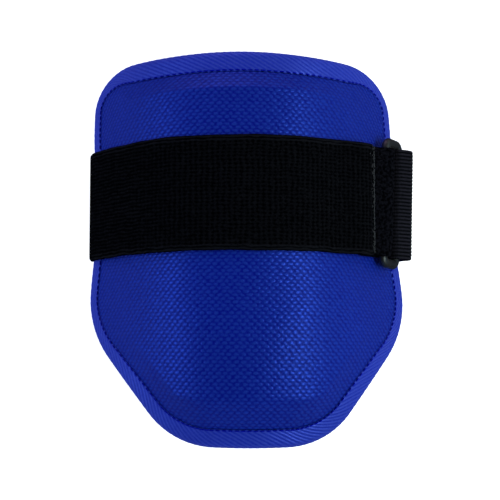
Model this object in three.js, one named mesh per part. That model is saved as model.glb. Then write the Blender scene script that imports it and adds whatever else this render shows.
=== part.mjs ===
// Batter's elbow guard: moulded padded shell, taped edge, and an elastic strap through a plastic ring.
// Millimetres. +Z up (outer face), +Y towards the upper-arm end, +X to the ring side.
import * as THREE from 'three';

// Strap, tab, webbing and ring sizes
const strapWidth = 50;
const strapThick = 1.8;
const strapMidY = 24.5;
const tabWidth = 48.8;
const tabThick = 1.6;
const tabReturn = 14;
const tabLanding = 7.8;
const tabLap = 16;
const strapEnd = 10.7;
const strapRamp = 32;
const webWidth = 49.8;
const webThick = 1.5;
const webReturn = 5.5;
const webWrap = 160;
const webSlack = 12;
const webTuck = 0.6;
const webLandAt = -1;
const webReach = -30;
const webRiseX = 64;
const webRise = 6;
const webLapEnd = 34;
const strapEndX = 57;
const rodRadius = 2.15;
const ringPitch = 10.3;
const ringWindow = 50.8;
const ringCorner = 2.5;
const innerBarX = 62.8;
const ringSkew = 0.069;

// Clearances between neighbouring pieces
const seatGap = 0.35;
const layGap = 0.3;

// Pad sizes
const flangeHalf = 2.0;
const reliefHeight = 6.4;
const reliefSide = 1.0;
const reliefFrom = 18;
const reliefTo = 62;
const tapeWidth = 9.6;
const tapeThick = 1.0;
const bevelTop = 9;
const bevelSide = 10;
const bevelTip = 16;
const spineEnds = { low: -40, high: 46 };
const lean = -0.025;
const axisX = -2.635;
const axisY = -1.65;

// Half outline of the pad's edge in plan: corner points with the radius of each corner
const outlineCorners = [
  { x: 0, y: 88.6, radius: 500 },
  { x: 65.8, y: 86.4, radius: 20.5 },
  { x: 71.1, y: -32.5, radius: 46 },
  { x: 33.4, y: -83.8, radius: 36 },
  { x: 0, y: -85.0, radius: 400 },
];
const halfCount = 54;
const cornerSteps = 40;

// The strap's pull narrows the pad a little where it goes round
const squeeze = { depth: 1.8, span: 28, midY: 20, fromX: 30, overX: 30 };
const squeezeAt = (y) => squeeze.depth * Math.exp(-(((y - squeeze.midY) / squeeze.span) ** 4));

// Vault of the pad: crest line, side height and the breadth of the section's ellipse
const crestMid = 51;
const crestTopDrop = { from: 40, to: 86, drop: 3 };
const crestTipDrop = { from: -25, to: -86, drop: 15 };
const sideWidth = { atZero: 69.65, perY: -0.0445 };
const breadth = { lowY: -25, low: 90, highY: 50, high: 75 };
const sideHeight = { lowY: -16, low: 0.9, highY: -4, high: 2.75 };

// Steps of the searches and curves below
const probe = 0.05;
const walkStep = 0.25;
const searchStep = 0.02;
const searchFrom = 10;
const bendSteps = 14;
const sideSteps = 12;
const legStep = 4;
const lapStep = 2.5;
const fineStep = 0.4;
const strapThin = { turn: 0.1, step: 14 };
const webThin = { turn: 0.2, step: 6 };
const rodSides = 12;
const pathTurn = 0.08;
const measureLift = seatGap + 1;

const smooth = (t) => {
  const c = Math.min(Math.max(t, 0), 1);
  return c * c * (3 - 2 * c);
};
const blend = (v, lowY, low, highY, high) => low + (high - low) * smooth((v - lowY) / (highY - lowY));

function crest(y) {
  const up = Math.max(0, (y - crestTopDrop.from) / (crestTopDrop.to - crestTopDrop.from));
  const down = Math.max(0, (y - crestTipDrop.from) / (crestTipDrop.to - crestTipDrop.from));
  return crestMid - crestTopDrop.drop * up * up - crestTipDrop.drop * down * down;
}

// Height of the pad's middle surface over plan point x, y
function vault(x, y) {
  const a = blend(y, breadth.lowY, breadth.low, breadth.highY, breadth.high);
  const edge = blend(y, sideHeight.lowY, sideHeight.low, sideHeight.highY, sideHeight.high);
  const half = sideWidth.atZero + sideWidth.perY * y - squeezeAt(y);
  const b = (crestMid - edge) / (1 - Math.sqrt(1 - (half / a) ** 2));
  const across = Math.min(Math.abs(x) / a, 0.9995);
  return crest(y) - b * (1 - Math.sqrt(1 - across * across));
}

function vaultNormal(x, y) {
  const gx = (vault(x + probe, y) - vault(x - probe, y)) / (2 * probe);
  const gy = (vault(x, y + probe) - vault(x, y - probe)) / (2 * probe);
  return new THREE.Vector3(-gx, -gy, 1).normalize();
}

// A point offset from the middle surface, with the outline's lean put in
function padPoint(plan, offset) {
  const n = vaultNormal(plan.x, plan.y);
  const p = new THREE.Vector3(plan.x, plan.y, vault(plan.x, plan.y)).addScaledVector(n, offset);
  return new THREE.Vector3(p.x + lean * p.y + axisX, p.y + axisY, p.z);
}

// Plan point reached by going a distance over the middle surface from the edge
function walk(start, inward, distance) {
  const p = start.clone();
  let left = distance;
  while (left > 1e-9) {
    const part = Math.min(walkStep, left);
    const ahead = vault(p.x + inward.x * probe, p.y + inward.y * probe);
    const rise = (ahead - vault(p.x, p.y)) / probe;
    p.addScaledVector(inward, part / Math.sqrt(1 + rise * rise));
    left -= part;
  }
  return p;
}

// Rounded half outline, evenly stepped, then mirrored into a ring that runs round from the top centre
function edgeRing() {
  const line = [];
  const corners = outlineCorners.map((c) => new THREE.Vector2(c.x, c.y));
  const before = new THREE.Vector2(-corners[1].x, corners[1].y);
  const after = new THREE.Vector2(-corners[3].x, corners[3].y);
  const chain = [before, ...corners, after];
  outlineCorners.forEach((c, i) => {
    const mid = chain[i + 1];
    const a = chain[i].clone().sub(mid).normalize();
    const b = chain[i + 2].clone().sub(mid).normalize();
    const half = Math.acos(THREE.MathUtils.clamp(a.dot(b), -1, 1)) / 2;
    const centre = a.clone().add(b).normalize().multiplyScalar(c.radius / Math.sin(half)).add(mid);
    const from = mid.clone().addScaledVector(a, c.radius / Math.tan(half)).sub(centre);
    const sweep = Math.PI - 2 * half;
    for (let k = 0; k <= cornerSteps; k += 1) {
      const turned = from.clone().rotateAround(new THREE.Vector2(), (-sweep * k) / cornerSteps);
      line.push(turned.add(centre));
    }
  });
  const half = line.filter((p) => p.x > 1e-6);
  half.unshift(new THREE.Vector2(0, half[0].y));
  half.push(new THREE.Vector2(0, half[half.length - 1].y));
  const along = [0];
  for (let i = 1; i < half.length; i += 1) along.push(along[i - 1] + half[i].distanceTo(half[i - 1]));
  const right = [];
  let at = 0;
  for (let k = 0; k <= halfCount; k += 1) {
    const want = (along[along.length - 1] * k) / halfCount;
    while (at < along.length - 2 && along[at + 1] < want) at += 1;
    const t = (want - along[at]) / (along[at + 1] - along[at]);
    const point = half[at].clone().lerp(half[at + 1], t);
    point.x -= squeezeAt(point.y) * smooth((point.x - squeeze.fromX) / squeeze.overX);
    const way = half[Math.min(at + 2, half.length - 1)].clone().sub(half[Math.max(at - 1, 0)]).normalize();
    right.push({ point, inward: new THREE.Vector2(way.y, -way.x) });
  }
  right[0].inward.set(0, -1);
  right[halfCount].inward.set(0, 1);
  const left = right.slice(1, halfCount).reverse().map((r) => ({
    point: new THREE.Vector2(-r.point.x, r.point.y),
    inward: new THREE.Vector2(-r.inward.x, r.inward.y),
  }));
  return [...right, ...left];
}

// Closed body from triangles of points: equal points are welded and the faces are turned out
function body(name, triangles, colour, roughness) {
  const index = new Map();
  const points = [];
  const faces = [];
  const key = (p) => `${p.x.toFixed(4)},${p.y.toFixed(4)},${p.z.toFixed(4)}`;
  const idOf = (p) => {
    const k = key(p);
    if (!index.has(k)) {
      index.set(k, points.length);
      points.push(p);
    }
    return index.get(k);
  };
  triangles.forEach((t) => {
    const ids = t.map(idOf);
    if (ids[0] !== ids[1] && ids[1] !== ids[2] && ids[2] !== ids[0]) faces.push(ids);
  });
  const volume = faces.reduce((sum, f) => {
    const [a, b, c] = f.map((i) => points[i]);
    return sum + a.dot(b.clone().cross(c)) / 6;
  }, 0);
  const out = volume > 0 ? faces : faces.map((f) => [f[0], f[2], f[1]]);
  const geometry = new THREE.BufferGeometry();
  const flat = points.flatMap((p) => [p.x, p.y, p.z]);
  geometry.setAttribute('position', new THREE.Float32BufferAttribute(flat, 3));
  geometry.setIndex(out.flat());
  geometry.computeVertexNormals();
  const mesh = new THREE.Mesh(geometry, new THREE.MeshStandardMaterial({ color: colour, roughness }));
  mesh.name = name;
  return mesh;
}

// Faces between two rows of points
function strip(a, b, closed) {
  const out = [];
  const count = closed ? a.length : a.length - 1;
  for (let i = 0; i < count; i += 1) {
    const j = (i + 1) % a.length;
    out.push([a[i], b[i], b[j]], [a[i], b[j], a[j]]);
  }
  return out;
}

const edge = edgeRing();
const ringAt = (distance, offset) => edge.map((e) => padPoint(walk(e.point, e.inward, distance), offset));

// Pad shell: inner face, rounded edge, flange, bevel and platform
function padRings() {
  const tip = tapeThick + layGap;
  const round = tip + flangeHalf;
  const foot = tapeWidth + layGap;
  const bevelOf = (e) => bevelSide + (e.inward.y < 0 ? (bevelTop - bevelSide) * e.inward.y ** 2
    : (bevelTip - bevelSide) * e.inward.y ** 2);
  const reliefOf = (p) => blend(Math.abs(p.x), reliefFrom, reliefHeight, reliefTo, reliefSide);
  const crestPlan = edge.map((e) => walk(e.point, e.inward, foot + bevelOf(e)));
  const spineY = (y) => THREE.MathUtils.clamp(y, spineEnds.low, spineEnds.high);
  const spine = crestPlan.map((p) => new THREE.Vector2(0, spineY(p.y)));
  const inside = (t, offsetOf) => crestPlan.map((p, i) => {
    const q = p.clone().lerp(spine[i], t);
    return padPoint(q, offsetOf(q));
  });
  const quarter = Math.SQRT1_2 * flangeHalf;
  const rings = [];
  [1, 0.75, 0.5, 0.25, 0].forEach((t) => rings.push(inside(t, () => -flangeHalf)));
  rings.push(ringAt(foot, -flangeHalf), ringAt(round, -flangeHalf));
  rings.push(ringAt(round - quarter, -quarter), ringAt(tip, 0), ringAt(round - quarter, quarter));
  rings.push(ringAt(round, flangeHalf), ringAt(foot, flangeHalf));
  [0.2, 0.4, 0.6, 0.8].forEach((f) => {
    rings.push(edge.map((e) => {
      const p = walk(e.point, e.inward, foot + f * bevelOf(e));
      return padPoint(p, flangeHalf + reliefOf(p) * smooth(f));
    }));
  });
  [0, 0.2, 0.4, 0.6, 0.8, 1].forEach((t) => {
    rings.push(inside(t, (p) => flangeHalf + reliefOf(p)));
  });
  return rings;
}

// Edge binding: tape folded over the flange, a U in section
function bindingRings() {
  const inner = flangeHalf + layGap;
  const outer = inner + tapeThick;
  const rings = [];
  const arc = (radius, turn) => [90, 54, 18, -18, -54, -90].map((deg) => {
    const a = THREE.MathUtils.degToRad(deg * turn);
    return ringAt(outer - radius * Math.cos(a), radius * Math.sin(a));
  });
  rings.push(ringAt(tapeWidth, outer), ...arc(outer, 1), ringAt(tapeWidth, -outer));
  rings.push(ringAt(tapeWidth, -inner), ...arc(inner, -1), ringAt(tapeWidth, inner));
  return rings;
}

const padFaces = [];
padRings().forEach((ring, i, all) => {
  if (i > 0) padFaces.push(...strip(all[i - 1], ring, true));
});
const bindingFaces = [];
bindingRings().forEach((ring, i, all) => bindingFaces.push(...strip(ring, all[(i + 1) % all.length], true)));

// Points of pad and binding in a cross section, and the convex chain round them
function sectionPoints(y) {
  const points = [];
  [...padFaces, ...bindingFaces].forEach((t) => {
    for (let i = 0; i < 3; i += 1) {
      const a = t[i];
      const b = t[(i + 1) % 3];
      if ((a.y - y) * (b.y - y) < 0) {
        const p = a.clone().lerp(b, (y - a.y) / (b.y - a.y));
        points.push(new THREE.Vector2(p.x, p.z));
      }
    }
  });
  return points;
}
function convexChain(points) {
  const sorted = [...points].sort((a, b) => a.x - b.x || a.y - b.y);
  const turn = (o, a, b) => (a.x - o.x) * (b.y - o.y) - (a.y - o.y) * (b.x - o.x);
  const side = (list) => {
    const out = [];
    list.forEach((p) => {
      while (out.length > 1 && turn(out[out.length - 2], out[out.length - 1], p) < 1e-9) out.pop();
      out.push(p);
    });
    out.pop();
    return out;
  };
  return [...side(sorted), ...side(sorted.reverse())];
}

// Taut path round a section: seat points with outward directions, starting low on the right side.
// The strap's flat stretch below is held at one height, so that it lies level on the floor.
const floorSeat = strapThick + seatGap;
function tautPath(points) {
  const lowX = (sign) => points.filter((p) => p.x * sign > 0).reduce((m, p) => (p.y < m.y ? p : m)).x;
  const level = [new THREE.Vector2(lowX(-1), floorSeat), new THREE.Vector2(lowX(1), floorSeat)];
  const chain = convexChain([...points, ...level]);
  const first = chain.reduce((m, p, i) => (p.x > chain[m].x ? i : m), 0);
  const ring = chain.map((_, i) => chain[(i + first) % chain.length]);
  const out = [];
  const normalOf = (a, b) => new THREE.Vector2(b.y - a.y, a.x - b.x).normalize();
  ring.forEach((p, i) => {
    const a = normalOf(ring[(i - 1 + ring.length) % ring.length], p);
    const b = normalOf(p, ring[(i + 1) % ring.length]);
    const sweep = Math.atan2(a.cross(b), a.dot(b));
    const parts = Math.max(1, Math.ceil(sweep / pathTurn));
    for (let k = 0; k <= parts; k += 1) {
      out.push({ seat: p, out: a.clone().rotateAround(new THREE.Vector2(), (sweep * k) / parts) });
    }
  });
  return [...out, out[0]];
}
const lifted = (s, lift) => s.seat.clone().addScaledVector(s.out, lift);

// The widest section under the strap carries the bands.
// Places on it are told by the length round from the right edge.
const strapRows = [-0.5, -0.25, 0, 0.25, 0.5].map((f) => axisY + strapMidY + f * strapWidth);
const roundPath = tautPath([].concat(...strapRows.map(sectionPoints)));
const roundAlong = [0];
for (let i = 1; i < roundPath.length; i += 1) {
  const step = lifted(roundPath[i], measureLift).distanceTo(lifted(roundPath[i - 1], measureLift));
  roundAlong.push(roundAlong[i - 1] + step);
}
const roundLength = roundAlong[roundAlong.length - 1];
function over(length, lift) {
  const want = (length + roundLength) % roundLength;
  let i = 0;
  while (i < roundAlong.length - 2 && roundAlong[i + 1] < want) i += 1;
  const t = (want - roundAlong[i]) / Math.max(roundAlong[i + 1] - roundAlong[i], 1e-9);
  const out = roundPath[i].out.clone().lerp(roundPath[i + 1].out, t).normalize();
  return roundPath[i].seat.clone().lerp(roundPath[i + 1].seat, t).addScaledVector(out, lift);
}

// The ring's two bars stand on the right side
const innerLift = seatGap + tabThick + layGap + rodRadius;
const outerLift = seatGap + webThick + layGap + rodRadius;
let innerAt = searchFrom;
while (over(innerAt, innerLift).x > innerBarX + axisX) innerAt += searchStep;
const innerBar = over(innerAt, innerLift);
let outerAt = innerAt;
while (over(outerAt, outerLift).distanceTo(innerBar) < ringPitch) outerAt -= searchStep;
const outerBar = over(outerAt, outerLift);

// A line of points thinned so that no step turns or runs far
function thin(line, limit) {
  const out = [line[0]];
  let turned = 0;
  let run = 0;
  for (let i = 1; i < line.length - 1; i += 1) {
    const a = line[i].clone().sub(line[i - 1]);
    const b = line[i + 1].clone().sub(line[i]);
    turned += Math.abs(Math.atan2(a.cross(b), a.dot(b)));
    run += a.length();
    if (turned > limit.turn || run > limit.step) {
      out.push(line[i]);
      turned = 0;
      run = 0;
    }
  }
  return [...out, line[line.length - 1]];
}
const count = (from, to, step) => {
  const n = Math.max(1, Math.round(Math.abs(to - from) / step));
  return Array.from({ length: n + 1 }, (_, k) => from + ((to - from) * k) / n);
};

// The ring hangs a little askew: with the bands on it, it slides down the side towards its upper end
const bandY = axisY + strapMidY;
const ringWay = outerBar.clone().sub(innerBar).normalize();
const slid = (y) => ringSkew * (y - bandY);
const barAt = (bar, y) => bar.clone().addScaledVector(ringWay, slid(y));

// A flat band between the middle lines of its two rims
function bandFaces(lineAt, thick, width) {
  const [lows, highs] = [bandY - width / 2, bandY + width / 2].map((y) => {
    const line = lineAt(y);
    return line.map((p, i) => {
      const before = line[Math.max(i - 1, 0)];
      const way = line[Math.min(i + 1, line.length - 1)].clone().sub(before).normalize();
      const n = new THREE.Vector2(-way.y, way.x).multiplyScalar(thick / 2);
      return [p.clone().add(n), p.clone().sub(n)].map((q) => new THREE.Vector3(q.x, y, q.y));
    });
  });
  const loops = lows.map(([a, b], i) => [a, highs[i][0], highs[i][1], b]);
  const faces = [];
  loops.forEach((loop, i) => {
    if (i > 0) faces.push(...strip(loops[i - 1], loop, true));
  });
  const start = loops[0];
  const end = loops[loops.length - 1];
  faces.push([start[0], start[1], start[2]], [start[0], start[2], start[3]]);
  faces.push([end[0], end[2], end[1]], [end[0], end[3], end[2]]);
  return faces;
}
const arcAbout = (centre, from, sweep, steps) => Array.from({ length: steps + 1 }, (_, k) => (
  from.clone().rotateAround(new THREE.Vector2(), (sweep * k) / steps).add(centre)));

// Point where a line from a landing point touches a circle, on the side given by sign
function touch(centre, radius, landing, sign) {
  const way = landing.clone().sub(centre);
  const turn = Math.acos(radius / way.length());
  return way.normalize().multiplyScalar(radius).rotateAround(new THREE.Vector2(), sign * turn).add(centre);
}
const angleFrom = (a, b) => {
  const t = Math.atan2(a.cross(b), a.dot(b));
  return t < 0 ? t + 2 * Math.PI : t;
};

// Hook tab: from under the strap's end over the inner bar, down through the window and back beneath
const tabTurn = rodRadius + layGap + tabThick / 2;
const tabLow = seatGap + tabThick / 2;
const tabHigh = tabLow + tabThick + layGap;
function tabLineAt(y) {
  const bar = barAt(innerBar, y);
  const at = innerAt - slid(y);
  const foot = over(at, tabLow).sub(bar);
  const land = over(at + tabLanding, tabHigh);
  const top = touch(bar, tabTurn, land, -1);
  return [
    ...count(tabReturn, 1, legStep).map((s) => over(at + s, tabLow)),
    ...arcAbout(bar, foot, angleFrom(foot, top.clone().sub(bar)), bendSteps),
    ...[0.35, 0.7].map((t) => top.clone().lerp(land, t)),
    ...count(tabLanding, tabLap, lapStep).map((s) => over(at + s, tabHigh)),
  ];
}

// Elastic strap: its end lies on the tab, then it runs over the dome, round the left edge
// and back along the floor, where it stops on the right under the webbing
const strapOnTab = tabHigh + tabThick / 2 + layGap + strapThick / 2;
const strapSeat = seatGap + strapThick / 2;
const strapLift = (s) => strapOnTab + (strapSeat - strapOnTab) * smooth((s - tabLap) / (strapRamp - tabLap));
const strapDense = count(strapEnd, roundLength, walkStep).map((s) => over(innerAt + s, strapLift(s)));
const strapTurn = strapDense.reduce((m, p, i) => (p.x < strapDense[m].x ? i : m), 0);
const strapStop = strapDense.findIndex((p, i) => i > strapTurn && p.x > strapEndX + axisX);
const strapLine = thin(strapDense.slice(0, strapStop), strapThin);

// Webbing loop: short return leg, round the outer bar, down the side, under the edge and onto the strap
const webTurn = rodRadius + layGap + webThick / 2;
const webLow = seatGap + webThick / 2;
const webLand = over(webLandAt, webLow);
const webArrive = over(webLandAt - fineStep, webLow).sub(webLand).normalize();
const webBelow = count(webLandAt, webReach, fineStep).map((s) => over(s, webLow));
const webUnder = thin(webBelow.filter((p) => p.x > webRiseX + axisX), webThin);
const lapHeight = strapThick + layGap + webThick / 2;
const levelHeight = floorSeat - webLow;
function webLineAt(y) {
  const bar = barAt(outerBar, y);
  const at = outerAt - slid(y);
  const foot = over(at, webLow).sub(bar);
  const arc = arcAbout(bar, foot, -THREE.MathUtils.degToRad(webWrap), bendSteps);
  const top = arc[bendSteps];
  const leave = top.clone().sub(arc[bendSteps - 1]).normalize();
  const side = new THREE.CubicBezierCurve(
    top,
    top.clone().addScaledVector(leave, webSlack),
    webLand.clone().addScaledVector(webArrive, -webSlack * webTuck),
    webLand,
  ).getPoints(sideSteps).slice(1, sideSteps);
  return [
    ...count(webReturn, 1, legStep).map((s) => over(at - s, webLow)),
    ...arc,
    ...side,
    ...webUnder,
    ...[0.25, 0.5, 0.75, 1].map((t) => new THREE.Vector2(
      webRiseX + axisX - webRise * t, levelHeight + (lapHeight - levelHeight) * smooth(t))),
    new THREE.Vector2(webLapEnd + axisX, lapHeight),
  ];
}

// Strap ring: round rod bent to a rounded rectangle whose long bars lie along Y
function ringFaces() {
  const centre = innerBar.clone().add(outerBar).multiplyScalar(0.5);
  const halfU = ringPitch / 2;
  const halfV = ringWindow / 2 + rodRadius;
  const line = [];
  [[1, 1, 0], [-1, 1, 90], [-1, -1, 180], [1, -1, 270]].forEach(([su, sv, from]) => {
    [0, 22.5, 45, 67.5, 90].forEach((step) => {
      const a = THREE.MathUtils.degToRad(from + step);
      const u = su * (halfU - ringCorner) + ringCorner * Math.cos(a);
      const v = sv * (halfV - ringCorner) + ringCorner * Math.sin(a);
      line.push({ u, v, a });
    });
  });
  const up = new THREE.Vector2(-ringWay.y, ringWay.x);
  const loops = line.map(({ u, v, a }) => Array.from({ length: rodSides }, (_, k) => {
    const b = (k * 2 * Math.PI) / rodSides;
    const out = rodRadius * Math.cos(b);
    const ahead = u + out * Math.cos(a);
    const y = bandY + v + out * Math.sin(a) - ringSkew * ahead;
    const p = centre.clone().addScaledVector(ringWay, ahead + slid(y));
    p.addScaledVector(up, rodRadius * Math.sin(b));
    return new THREE.Vector3(p.x, y, p.y);
  }));
  const faces = [];
  loops.forEach((loop, i) => faces.push(...strip(loop, loops[(i + 1) % loops.length], true)));
  return faces;
}

const guard = new THREE.Group();
guard.name = 'batters_elbow_guard';
guard.add(body('pad_shell', padFaces, 0x1c2a9c, 0.8));
guard.add(body('edge_binding', bindingFaces, 0x2a34ae, 0.75));
guard.add(body('elastic_strap', bandFaces(() => strapLine, strapThick, strapWidth), 0x15161a, 0.85));
guard.add(body('hook_tab', bandFaces(tabLineAt, tabThick, tabWidth), 0x1b1b20, 0.8));
guard.add(body('strap_ring', ringFaces(), 0x2c2d30, 0.45));
guard.add(body('ring_loop', bandFaces(webLineAt, webThick, webWidth), 0x17171c, 0.8));

export default guard;
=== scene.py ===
# Batter's elbow guard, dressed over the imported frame: shapes in millimetres, +Z out of the arched face
import bmesh
import bpy
import numpy as np
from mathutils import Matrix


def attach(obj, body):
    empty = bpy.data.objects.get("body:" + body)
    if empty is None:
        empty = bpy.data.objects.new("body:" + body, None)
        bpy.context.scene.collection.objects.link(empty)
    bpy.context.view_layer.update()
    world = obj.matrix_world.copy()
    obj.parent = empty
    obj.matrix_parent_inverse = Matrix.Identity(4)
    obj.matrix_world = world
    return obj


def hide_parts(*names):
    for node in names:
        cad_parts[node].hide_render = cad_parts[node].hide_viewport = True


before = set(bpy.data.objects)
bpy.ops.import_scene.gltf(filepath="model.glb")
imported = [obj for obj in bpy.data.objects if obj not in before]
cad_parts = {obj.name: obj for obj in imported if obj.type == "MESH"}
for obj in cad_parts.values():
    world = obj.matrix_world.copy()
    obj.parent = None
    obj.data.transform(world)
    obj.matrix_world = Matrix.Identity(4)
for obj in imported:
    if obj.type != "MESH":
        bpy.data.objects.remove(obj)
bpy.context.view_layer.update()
mm = 0.001
tiny = 0.05  # step for slopes, in millimetres
print("frame loaded:", sorted(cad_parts))


# small tools shared by all pieces

def smooth(t):  # eased step: 3c^2 - 2c^3 between 0 and 1
    c = np.clip(t, 0.0, 1.0)
    return c * c * (3.0 - 2.0 * c)


def blend(v, lowAt, low, highAt, high):  # eased change from low to high as v goes from lowAt to highAt
    return low + (high - low) * smooth((v - lowAt) / (highAt - lowAt))


def unit(v):
    return v / np.maximum(np.linalg.norm(v, axis=-1, keepdims=True), 1e-12)


def joined(*parts):  # arrays of one shape, or broadcast to one, as the last axis
    return np.stack(np.broadcast_arrays(*parts), axis=-1)


def lineAt(want, along, points):  # flat line of points read at the wanted lengths
    return joined(*(np.interp(want, along, points[:, k]) for k in (0, 1)))


def arcAbout(centre, start, sweep, count):  # points swept round a centre
    turn = np.linspace(0.0, sweep, count)
    c, s = np.cos(turn), np.sin(turn)
    return centre + joined(start[0] * c - start[1] * s, start[0] * s + start[1] * c)


def lengthAlong(points):  # running length of a line of points
    return np.concatenate([[0.0], np.cumsum(np.linalg.norm(np.diff(points, axis=0), axis=1))])


def gridFaces(rows, cols):  # quads between neighbouring rows and columns of a grid of points
    at = np.arange(rows * cols).reshape(rows, cols)
    return joined(at[:-1, :-1], at[1:, :-1], at[1:, 1:], at[:-1, 1:]).reshape(-1, 4)


def closeRound(grid):  # the first column again after the last one
    return np.concatenate([grid, grid[:, :1]], axis=1)


def placed(name, data):  # new object in the scene
    thing = bpy.data.objects.new(name, data)
    bpy.context.scene.collection.objects.link(thing)
    return thing


def addPiece(name, points, faces, uv=None, faceMaterial=None):
    # mesh from whole arrays: doubles merged, faces turned out by the sign of the volume
    a, b, c, d = (points[faces[:, k]] for k in range(4))
    volume = np.einsum("ij,ij->i", a, np.cross(b, c)).sum() + np.einsum("ij,ij->i", a, np.cross(c, d)).sum()
    if volume < 0:
        faces = faces[:, ::-1]
    mesh = bpy.data.meshes.new(name)
    mesh.from_pydata((points * mm).tolist(), [], faces.tolist())
    if uv is not None:
        layer = mesh.uv_layers.new(name="cloth")
        layer.data.foreach_set("uv", uv[faces.ravel()].astype(np.float32).ravel())
    if faceMaterial is not None:
        mesh.polygons.foreach_set("material_index", faceMaterial.astype(np.int32))
    mesh.polygons.foreach_set("use_smooth", np.ones(len(faces), dtype=bool))
    work = bmesh.new()
    work.from_mesh(mesh)
    bmesh.ops.remove_doubles(work, verts=work.verts, dist=2e-7)
    work.to_mesh(mesh)
    work.free()
    mesh.update()
    piece = placed(name, mesh)
    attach(piece, "root")
    print("piece", name, len(mesh.polygons), "faces")
    return piece


# pad: a vault over the arm with a raised platform inside a flat flange

pad = {
    "axisX": -2.635, "axisY": -1.65, "lean": -0.025,
    "crest": 51.0, "topFrom": 40.0, "topTo": 86.0, "topDrop": 3.0,
    "tipFrom": -25.0, "tipTo": -86.0, "tipDrop": 15.0,
    "half": 69.65, "halfPerY": -0.0445,
    "broadLowY": -25.0, "broadLow": 90.0, "broadHighY": 50.0, "broadHigh": 75.0,
    "sideLowY": -16.0, "sideLow": 0.9, "sideHighY": -4.0, "sideHigh": 2.75,
    "squeeze": 1.8, "squeezeSpan": 28.0, "squeezeMidY": 20.0,
    "squeezeFromX": 30.0, "squeezeOverX": 30.0,
    "corners": (  # x, y and radius of each corner of the half outline
        (0.0, 88.6, 500.0), (65.8, 86.4, 20.5), (71.1, -32.5, 46.0),
        (33.4, -83.8, 36.0), (0.0, -85.0, 400.0)),
    "flange": 2.0, "relief": 6.4, "reliefSide": 1.0, "reliefFrom": 18.0, "reliefTo": 62.0,
    "bevelTop": 9.0, "bevelSide": 10.0, "bevelTip": 16.0,
    "spineLow": -40.0, "spineHigh": 46.0,
    "spokes": 800, "arcSteps": 160, "bevelRows": 32, "platformRows": 54, "liningRows": 20, "noseRows": 9,
    "crowding": 0.7, "tuck": 2.0, "walkStep": 0.15,
    "pucker": 0.14, "puckerReach": 1.6, "uneven": 0.13,
    "swell": 0.9, "swellFoot": 0.25, "swellReach": 0.28, "crestTurn": 14,
}
tape = {
    "width": 9.6, "thick": 1.0, "gap": 0.3, "rimGap": 0.08, "rows": 32, "hiddenRows": 14,
    "twillPitch": 1.55, "twillAngle": 31.0, "twillHeight": 0.12, "twillFade": 0.9, "perRidge": 7,
    "edgeRound": 0.6, "edgeDrop": 0.5, "scallop": 0.36, "scallopReach": 1.1,
    "dimple": 0.1, "dimpleReach": 0.55,
    "stitchPitch": 2.7, "stitchIn": 0.32, "stitchLength": 2.3, "stitchRadius": 0.29, "stitchSink": 0.12,
}
tapeInner = pad["flange"] + tape["gap"]
tapeOuter = tapeInner + tape["thick"]
padFoot = tape["width"] + tape["rimGap"]


def squeezeAt(y):  # how far the strap draws the side in: a flat-topped bell along the arm
    return pad["squeeze"] * np.exp(-(((y - pad["squeezeMidY"]) / pad["squeezeSpan"]) ** 4))


def vault(x, y):
    # middle surface of the pad: an ellipse across, let down from a crest that droops at both ends
    up = np.maximum(0.0, (y - pad["topFrom"]) / (pad["topTo"] - pad["topFrom"]))
    down = np.maximum(0.0, (y - pad["tipFrom"]) / (pad["tipTo"] - pad["tipFrom"]))
    crest = pad["crest"] - pad["topDrop"] * up**2 - pad["tipDrop"] * down**2
    broad = blend(y, pad["broadLowY"], pad["broadLow"], pad["broadHighY"], pad["broadHigh"])
    side = blend(y, pad["sideLowY"], pad["sideLow"], pad["sideHighY"], pad["sideHigh"])
    half = pad["half"] + pad["halfPerY"] * y - squeezeAt(y)
    deep = (pad["crest"] - side) / (1.0 - np.sqrt(1.0 - (half / broad) ** 2))
    across = np.minimum(np.abs(x) / broad, 0.9995)
    return crest - deep * (1.0 - np.sqrt(1.0 - across**2))


def vaultNormal(x, y):  # upward normal from central differences
    slopeX = (vault(x + tiny, y) - vault(x - tiny, y)) / (2 * tiny)
    slopeY = (vault(x, y + tiny) - vault(x, y - tiny)) / (2 * tiny)
    return unit(joined(-slopeX, -slopeY, 1.0))


def padPoint(plan, offset):  # vault point, moved along its normal, then leaned and set on the axis
    x, y = plan[..., 0], plan[..., 1]
    p = joined(x, y, vault(x, y)) + vaultNormal(x, y) * np.asarray(offset)[..., None]
    p[..., 0] += pad["lean"] * p[..., 1] + pad["axisX"]
    p[..., 1] += pad["axisY"]
    return p


def edgeRing(count):
    # half outline of straight runs and corner arcs, stepped evenly, then mirrored: clockwise from the top
    corner = np.array(pad["corners"])
    line = corner[:, :2]
    mirrored = np.array([-1.0, 1.0])
    chain = np.vstack([line[1] * mirrored, line, line[-2] * mirrored])
    arcs = []
    for i, radius in enumerate(corner[:, 2]):
        back, ahead = unit(chain[i] - chain[i + 1]), unit(chain[i + 2] - chain[i + 1])
        half = np.arccos(np.clip(back @ ahead, -1.0, 1.0)) / 2
        centre = chain[i + 1] + unit(back + ahead) * radius / np.sin(half)
        start = chain[i + 1] + back * radius / np.tan(half) - centre
        arcs.append(arcAbout(centre, start, 2 * half - np.pi, pad["arcSteps"]))
    run = np.vstack(arcs)
    run = run[run[:, 0] > 1e-6]
    run = np.vstack([[0.0, run[0, 1]], run, [0.0, run[-1, 1]]])
    along = lengthAlong(run)
    want = np.linspace(0.0, along[-1], count // 2 + 1)
    right = lineAt(want, along, run)
    ring = np.vstack([right, right[-2:0:-1] * mirrored])
    way = unit(np.roll(ring, -1, axis=0) - np.roll(ring, 1, axis=0))
    inward = joined(way[:, 1], -way[:, 0])
    side = np.sign(ring[:, 0]) * smooth((np.abs(ring[:, 0]) - pad["squeezeFromX"]) / pad["squeezeOverX"])
    ring[:, 0] -= side * squeezeAt(ring[:, 1])
    return ring, inward, 2 * along[-1]


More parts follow.
